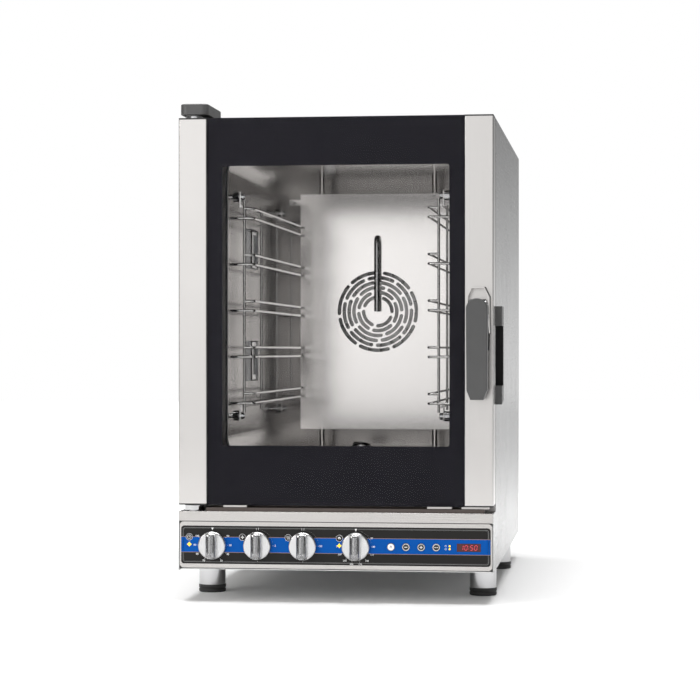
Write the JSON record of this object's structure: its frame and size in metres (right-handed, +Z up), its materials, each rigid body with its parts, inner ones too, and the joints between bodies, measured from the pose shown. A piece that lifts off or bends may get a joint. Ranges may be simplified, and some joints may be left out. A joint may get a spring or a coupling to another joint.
{
  "type": "combi steamer oven",
  "caption": "Compact countertop combi steamer oven with a left-hinged glass door, wire tray racks, convection fan, steam pipe and a knob control panel.",
  "frame": {"origin": "on the floor, under the middle of the oven's outer box", "axes": "+Z up, door faces -Y, +X to the right when facing the door"},
  "size_m": [0.53, 0.945, 0.8215],
  "materials": {
    "brushed_panel": "brushed, fine horizontal grain",
    "back_sheet": "plain mill-finish sheet",
    "door_profile": "satin, vertical grain",
    "frame_steel": "satin sheet",
    "cavity_steel": "bright annealed sheet, lightly clouded",
    "rack_wire": "electropolished wire",
    "polished_steel": "polished",
    "fan_steel": "satin",
    "heater_sheath": "dark oxide sheath",
    "pipe_steel": "drawn tube",
    "outer_pane": "clear tempered glass",
    "inner_pane": "clear low-emission glass",
    "frit": "fired black enamel",
    "black_overlay": "printed polycarbonate film",
    "knob_silver": "satin silver",
    "button_black": "semi-gloss",
    "display_red": "red filter",
    "indicator_amber": "lit lens",
    "circuit_board": "solder mask",
    "switch_plastic": "moulded",
    "motor_paint": "stove enamel",
    "valve_plastic": "glass-filled nylon",
    "gland_nylon": "nylon",
    "grey_plastic": "fine moulded texture",
    "black_plastic": "moulded",
    "seal_silicone": "silicone",
    "foot_rubber": "moulded rubber",
    "mineral_wool": "loose fibre",
    "lamp_glass": "borosilicate",
    "lamp_body": "pressed steel"
  },
  "bodies": {
    "chassis": {"back_panel": "back_sheet", "back_screws": "polished_steel", "baffle": "cavity_steel", "bottom_panel": "back_sheet", "cable_gland": "gland_nylon", "cavity_liner": "cavity_steel", "control_board": "circuit_board", "control_fascia": "brushed_panel", "control_overlay": "black_overlay", "display_window": "display_red", "door_gasket": "seal_silicone", "door_switch": "black_plastic", "drain_pipe": "pipe_steel", "drain_strainer": "polished_steel", "drip_tray": "frame_steel", "exhaust_pipe": "pipe_steel", "fan_motor": "motor_paint", "foot_pads": "foot_rubber", "foot_tubes": "polished_steel", "front_frame": "frame_steel", "front_sill": "brushed_panel", "heating_element": "heater_sheath", "hinge_bracket": "grey_plastic", "hinge_pins": "polished_steel", "indicator_lamps": "indicator_amber", "insulation": "mineral_wool", "lamp_bezels": "polished_steel", "lamp_housings": "lamp_body", "lamp_lenses": "lamp_glass", "latch_keeper": "grey_plastic", "left_rack": "rack_wire", "left_side_panel": "brushed_panel", "rack_studs": "polished_steel", "right_rack": "rack_wire", "right_side_panel": "brushed_panel", "steam_pipe": "polished_steel", "switch_units": "switch_plastic", "top_panel": "brushed_panel", "water_valve": "valve_plastic"},
    "door": {"hinge_side_profile": "door_profile", "handle_side_profile": "door_profile", "profile_caps": "black_plastic", "outer_glass": "outer_pane", "frit_border": "frit", "inner_glass": "inner_pane", "door_inner_frame": "frame_steel", "handle_bracket": "frame_steel", "handle_pin": "polished_steel"},
    "door_handle": {"handle_lever": "grey_plastic", "latch_tongue": "polished_steel"},
    "timer_knob": {"timer_knob": "knob_silver"},
    "fan_knob": {"fan_knob": "knob_silver"},
    "humidity_knob": {"humidity_knob": "knob_silver"},
    "temperature_knob": {"temperature_knob": "knob_silver"},
    "button_1": {"button_1": "button_black"},
    "button_2": {"button_2": "button_black"},
    "button_3": {"button_3": "button_black"},
    "button_4": {"button_4": "button_black"},
    "fan": {"fan_wheel": "fan_steel", "fan_shaft": "polished_steel"}
  },
  "joints": [
    {"name": "door_swing", "type": "hinge", "parent": "chassis", "child": "door", "pos_m": [-0.2435, -0.3855, 0.47865], "axis": [0, 0, -1], "range_deg": [0, 120]},
    {"name": "handle_pull", "type": "hinge", "parent": "door", "child": "door_handle", "pos_m": [0.2315, -0.4345, 0.48805], "axis": [-1, 0, 0], "range_deg": [0, 30], "stiffness_Nm_per_rad": 0.6, "springref_deg": -17.19},
    {"name": "timer_turn", "type": "hinge", "parent": "chassis", "child": "timer_knob", "pos_m": [-0.20801, -0.4145, 0.0934], "axis": [0, 1, 0], "range_deg": [0, 300]},
    {"name": "fan_turn", "type": "hinge", "parent": "chassis", "child": "fan_knob", "pos_m": [-0.13302, -0.4145, 0.0934], "axis": [0, 1, 0], "range_deg": [0, 270]},
    {"name": "humidity_turn", "type": "hinge", "parent": "chassis", "child": "humidity_knob", "pos_m": [-0.05752, -0.4145, 0.0934], "axis": [0, 1, 0], "range_deg": [0, 270]},
    {"name": "temperature_turn", "type": "hinge", "parent": "chassis", "child": "temperature_knob", "pos_m": [0.03, -0.4145, 0.0934], "axis": [0, 1, 0], "range_deg": [0, 290]},
    {"name": "button_1_press", "type": "slide", "parent": "chassis", "child": "button_1", "axis": [0, 1, 0], "range_m": [0, 0.001], "stiffness_N_per_m": 600, "springref_m": -0.001},
    {"name": "button_2_press", "type": "slide", "parent": "chassis", "child": "button_2", "axis": [0, 1, 0], "range_m": [0, 0.001], "stiffness_N_per_m": 600, "springref_m": -0.001},
    {"name": "button_3_press", "type": "slide", "parent": "chassis", "child": "button_3", "axis": [0, 1, 0], "range_m": [0, 0.001], "stiffness_N_per_m": 600, "springref_m": -0.001},
    {"name": "button_4_press", "type": "slide", "parent": "chassis", "child": "button_4", "axis": [0, 1, 0], "range_m": [0, 0.001], "stiffness_N_per_m": 600, "springref_m": -0.001},
    {"name": "fan_spin", "type": "hinge", "parent": "chassis", "child": "fan", "pos_m": [-0.005, 0.2655, 0.489], "axis": [0, 1, 0], "continuous": true}
  ]
}
